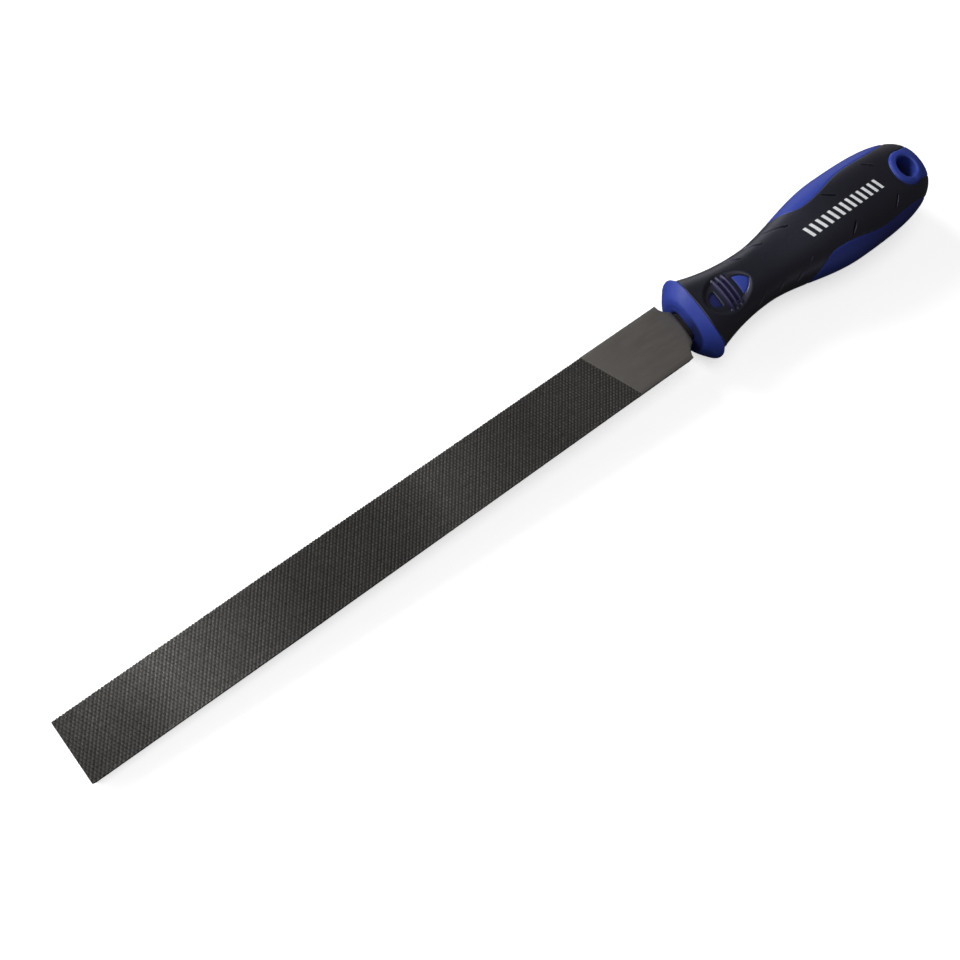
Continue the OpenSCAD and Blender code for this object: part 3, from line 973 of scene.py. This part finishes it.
def cut_half(seed, lower):
    """Toothed half of the cut body: one face and its walls down to z = 0."""
    bm = bmesh.new()
    add_teeth(bm, np.random.RandomState(seed))
    for point, normal in trim_planes():
        bmesh.ops.bisect_plane(bm, geom=bm.verts[:] + bm.edges[:] + bm.faces[:], dist=1e-6,
                               plane_co=point, plane_no=normal, clear_outer=True)
    # finer rim along the serrated edge (+Y), then the walls
    side = [edge for edge in rim_edges(bm)
            if all(v.co.y > body_half_width(v.co.x) - 1e-3 for v in edge.verts)]
    bmesh.ops.subdivide_edges(bm, edges=side, cuts=2, use_grid_fill=False)
    walls = bmesh.ops.extrude_edge_only(bm, edges=rim_edges(bm))
    for v in walls["geom"]:
        if isinstance(v, bmesh.types.BMVert):
            v.co.z = 0.0
    # serrations at +Y, slightly drawn-in upper rim at -Y
    for v in bm.verts:
        half = body_half_width(v.co.x)
        if v.co.y > half - 1e-3:
            v.co.y -= EDGE_TOOTH_DEPTH * (1 - saw((v.co.x + 0.25 * v.co.z) / EDGE_TOOTH_PITCH))
        if v.co.y < -half + 1e-3 and v.co.z > 0.3:
            v.co.y += 0.06
    if lower:
        for v in bm.verts:
            v.co.z = -v.co.z
        bmesh.ops.reverse_faces(bm, faces=bm.faces[:])
    triangulate_large(bm)
    return take_arrays(bm)


def close_floor(verts, faces):
    """Closes a half at z = 0; the halves have different teeth, so each gets its own floor."""
    bm = bmesh.new()
    made = [bm.verts.new(tuple(p)) for p in verts]
    for face in faces:
        # guards against two faces on the same corners; the first one is kept
        try:
            bm.faces.new([made[i] for i in face])
        except ValueError:
            pass
    bmesh.ops.remove_doubles(bm, verts=bm.verts, dist=1e-5)
    bmesh.ops.holes_fill(bm, edges=rim_edges(bm), sides=0)
    bmesh.ops.recalc_face_normals(bm, faces=bm.faces)
    triangulate_large(bm)
    return take_arrays(bm)


# ------------------------------------------------------------------ steel: heel, shoulders, tang
RING_POINTS = 96
FILLET_R = 4.0
FILLET_X, FILLET_Y = FILLET_R + 0.05, BODY_WIDTH / 2 + 0.05     # centre of the shoulder fillet
FILLET_SWEEP = math.radians(66)
FILLET_END_X = FILLET_X - FILLET_R * math.cos(FILLET_SWEEP)
FILLET_END_Y = FILLET_Y - FILLET_R * math.sin(FILLET_SWEEP)
TANG_X = NOSE_X - 0.2                  # the tang proper starts just ahead of the nose
TANG_TIP_X = 63.4                      # its end is drawn in from here


def ring_section(half_width, half_thick, oval):
    """Ring from a sharp rectangle (oval 0) towards an ellipse (oval 1)."""
    angle = 2 * np.pi * (np.arange(RING_POINTS) + 0.5) / RING_POINTS
    c, s = np.cos(angle), np.sin(angle)
    power = 2.3 + (40 - 2.3) * (1 - oval) ** 3
    radius = (np.abs(c) ** power + np.abs(s) ** power) ** (-1 / power)
    return half_width * radius * c, half_thick * radius * s


def heel_half_width(x):
    if x <= 0:
        return BODY_WIDTH / 2
    if x < FILLET_END_X:
        return FILLET_Y - math.sqrt(max(0, FILLET_R ** 2 - min(max(FILLET_X - x, 0), FILLET_R) ** 2))
    if x < TANG_X:
        return FILLET_END_Y + (TANG_WIDTH / 2 - FILLET_END_Y) * share(x, FILLET_END_X, TANG_X)
    down = min((x - TANG_X) / (TANG_LENGTH - NOSE_X), 1)
    return TANG_WIDTH / 2 + (TANG_END_WIDTH - TANG_WIDTH) / 2 * down


def seam_ring(blend):
    """Ring that moves from the slanted seam (0) to a straight station (1)."""
    y, z = ring_section(BODY_WIDTH / 2, BODY_THICK / 2, 0.0)
    seam_x = SEAM_A[0] + (SEAM_B[0] - SEAM_A[0]) * (BODY_WIDTH / 2 - y) / BODY_WIDTH
    return np.stack([seam_x + (-8.0 - seam_x) * blend, y, z], 1)


def heel_ring(x):
    half_thick = BODY_THICK / 2
    if x > TANG_X:
        down = (x - TANG_X) / (TANG_LENGTH - NOSE_X)
        half_thick = TANG_THICK / 2 + (TANG_END_THICK - TANG_THICK) / 2 * down
    y, z = ring_section(heel_half_width(x), half_thick, smoothstep((x - 2.2) / 2.0) * 0.9)
    if 0 < x <= TANG_X:
        # the flat runs out over a curved line and drops to the tang
        run_out = 2.9 - 1.6 * (np.abs(y) / 5.9) ** 2.2
        drop = np.clip((x - run_out) / (TANG_X - run_out + 1e-6), 0, 1)
        z = z * (1 - (1 - TANG_THICK / BODY_THICK) * drop ** 1.2)
    if x >= TANG_TIP_X:
        shrink = 0.82 if x < TANG_LENGTH else 0.5
        y, z = y * shrink, z * shrink
    return np.stack([np.full(RING_POINTS, float(x)), y, z], 1)


def heel_body():
    stations = [-6.0, -3.0, -1.0, -0.35, -0.12, -0.02]
    stations += [FILLET_R * (1 - math.cos(math.radians(degrees)))
                 for degrees in (2.5, 5, 8, 12, 17, 23, 30, 37, 44, 51, 58, 64)]
    stations += [*np.linspace(FILLET_END_X, TANG_X, 9)]
    stations += [4.8, 6.0, 12, 24, 40, 56, 62, TANG_TIP_X, TANG_LENGTH]
    rings = [seam_ring(blend) for blend in (0.0, 0.06, 0.35, 0.7)]
    rings += [heel_ring(x) for x in stations]
    grid = index_grid(len(rings), RING_POINTS)
    closed = np.concatenate([grid, grid[:, :1]], axis=1)
    return np.concatenate(rings), [grid[0, ::-1], *grid_quads(closed, turned=True), grid[-1]]


def build_blade():
    halves = [close_floor(*cut_half(seed=11, lower=False)),
              close_floor(*cut_half(seed=12, lower=True))]
    heel = heel_body()
    verts, faces = merge([*halves, heel])
    cut_count = sum(len(half_faces) for _, half_faces in halves)
    face_materials = [0] * cut_count + [1] * len(heel[1])
    ob = make_object("blade_shape", verts, faces, [CUT_STEEL, PLAIN_STEEL], face_materials)
    bm = bmesh.new()
    bm.from_mesh(ob.data)
    face_outwards(bm, math.radians(24))
    for face in bm.faces:
        face.smooth = face.material_index == 1
    bm.to_mesh(ob.data)
    bm.free()
    return ob


core = build_core()
grip = build_grip()
mark = build_mark()
blade = build_blade()

# ------------------------------------------------------------------ hand over to the frame
for ob, part, slot in ((blade, "blade", "hardened_steel"), (core, "handle_core", "blue_plastic"),
                       (grip, "grip_sleeve", "black_grip")):
    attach(ob, "root")
    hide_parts(part)
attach(mark, "root")


# ------------------------------------------------------------------ floor and world
FLOOR_GLOW = 0.62      # what the camera sees of the floor's own light near the tool
GLOSS_GLOW = 1.3       # the floor's light as seen in reflections
AMBIENT = 0.085        # grey level of the world for everything but the camera


def floor_material():
    material, n = new_material("floor_pale")
    rays = n.add("LightPath").outputs
    pale = n.mix(under=(0.90, 0.90, 0.905), over=(0.93, 0.93, 0.93),
                 amount=n.noise(n.coords(), scale=6, detail=2))
    seen = n.mix(under=(0.07, 0.07, 0.075), over=pale, amount=rays["Is Camera Ray"])
    # painted reflection: the floor beyond the +Y side of the tool glows for glossy rays only, and
    # shows in the sheen of the grip
    x, y, _ = n.position()
    beyond = n.ramp(n.times(y, 10.0), (0.25, 0.0), (0.6, 1.0))
    across = n.math("SUBTRACT", y, n.times(x, 0.8))
    corner = n.ramp(n.plus(n.times(across, 2.0), 0.5), (0.42, 0.15), (0.60, 1.0))
    sheen = n.times(n.times(rays["Is Glossy Ray"], GLOSS_GLOW), n.times(beyond, corner))
    # far from the tool the floor fades to plain white
    glow = n.ramp(n.radius(x, y), (0.30, FLOOR_GLOW), (0.80, 1.0))
    n.surface({"Base Color": seen, "Roughness": 0.75, "Specular IOR Level": 0.0,
               "Emission Color": (1, 1, 1),
               "Emission Strength": n.plus(n.times(rays["Is Camera Ray"], glow), sheen)})
    return material


def build_floor():
    bm = bmesh.new()
    bmesh.ops.create_grid(bm, x_segments=2, y_segments=2, size=3.0)
    mesh = bpy.data.meshes.new("floor")
    bm.to_mesh(mesh)
    bm.free()
    floor = bpy.data.objects.new("floor", mesh)
    bpy.context.scene.collection.objects.link(floor)
    # the tool rests on its belly and on the lower edge of the tip
    belly_x, belly_z = (BELLY_X - HOLE_X) * MM, -BELLY_THICK / 2 * MM
    tip_x, tip_z = (-BODY_LENGTH - HOLE_X) * MM, -TIP_THICK / 2 * MM
    floor.rotation_euler = (0, -math.atan2(belly_z - tip_z, belly_x - tip_x), 0)
    floor.location = (belly_x, 0, belly_z - 0.0002)
    mesh.materials.append(floor_material())


def build_world():
    world = bpy.data.worlds.new("studio")
    bpy.context.scene.world = world
    world.use_nodes = True
    n = Nodes(world.node_tree)
    background = n.tree.nodes["Background"]
    seen = n.mix(under=(AMBIENT,) * 3, over=(1.0, 1.0, 1.0),
                 amount=n.add("LightPath").outputs["Is Camera Ray"])
    n.feed(background.inputs[0], seen)
    background.inputs[1].default_value = 1.0


# ------------------------------------------------------------------ camera and lights
CAMERA_PLACE = np.array([-146.493, -27.506, 272.567])     # mm, from the shoulder line
CAMERA_LENS, SENSOR_WIDTH = 37.48875, 36.0                # mm
# the camera's right, up and back (away from the view) directions
CAMERA_AXES = np.array([[0.791648, -0.591316, 0.153751],
                        [0.556303, 0.801661, 0.218784],
                        [-0.252626, -0.087668, 0.963584]])
LIGHT_TARGET = (-0.09, 0, 0)
# name, direction from the target along the camera's (right, up, back), distance (m),
# disk diameter (m), power (W)
LIGHTS = [
    ("key", (-0.80, 0.66, 0.50), 0.95, 0.45, 7.7),
    ("side", (-1.0, 0.15, 0.50), 0.95, 0.6, 1.2),
    ("low", (-1.0, -0.06, 0.36), 0.95, 0.6, 1.15),
    ("front", (-0.1, 0.15, 1.0), 1.1, 0.7, 3.5),
    ("rim", (0.62, -0.75, 0.3), 1.0, 0.6, 0.10),
    ("back", (0.70, -0.60, 0.04), 1.0, 0.5, 0.4),
]


def build_camera():
    data = bpy.data.cameras.new("camera")
    camera = bpy.data.objects.new("camera", data)
    bpy.context.scene.collection.objects.link(camera)
    data.sensor_width = SENSOR_WIDTH
    data.lens = CAMERA_LENS
    data.clip_start, data.clip_end = 0.01, 20
    place = (CAMERA_PLACE - ORIGIN) * MM
    camera.matrix_world = Matrix([[*CAMERA_AXES.T[i], place[i]] for i in range(3)] + [[0, 0, 0, 1]])
    bpy.context.scene.camera = camera


def build_light(name, direction, distance, size, power):
    right, up, back = (Vector(axis) for axis in CAMERA_AXES)
    toward = (right * direction[0] + up * direction[1] + back * direction[2]).normalized()
    data = bpy.data.lights.new(name, "AREA")
    data.shape = "DISK"
    data.size = size
    data.energy = power
    light = bpy.data.objects.new(name, data)
    bpy.context.scene.collection.objects.link(light)
    light.location = Vector(LIGHT_TARGET) + toward * distance
    light.rotation_euler = (-toward).to_track_quat("-Z", "Y").to_euler()


build_floor()
build_world()
build_camera()
for row in LIGHTS:
    build_light(*row)
bpy.context.scene.view_settings.view_transform = "Standard"
bpy.context.scene.view_settings.look = "None"
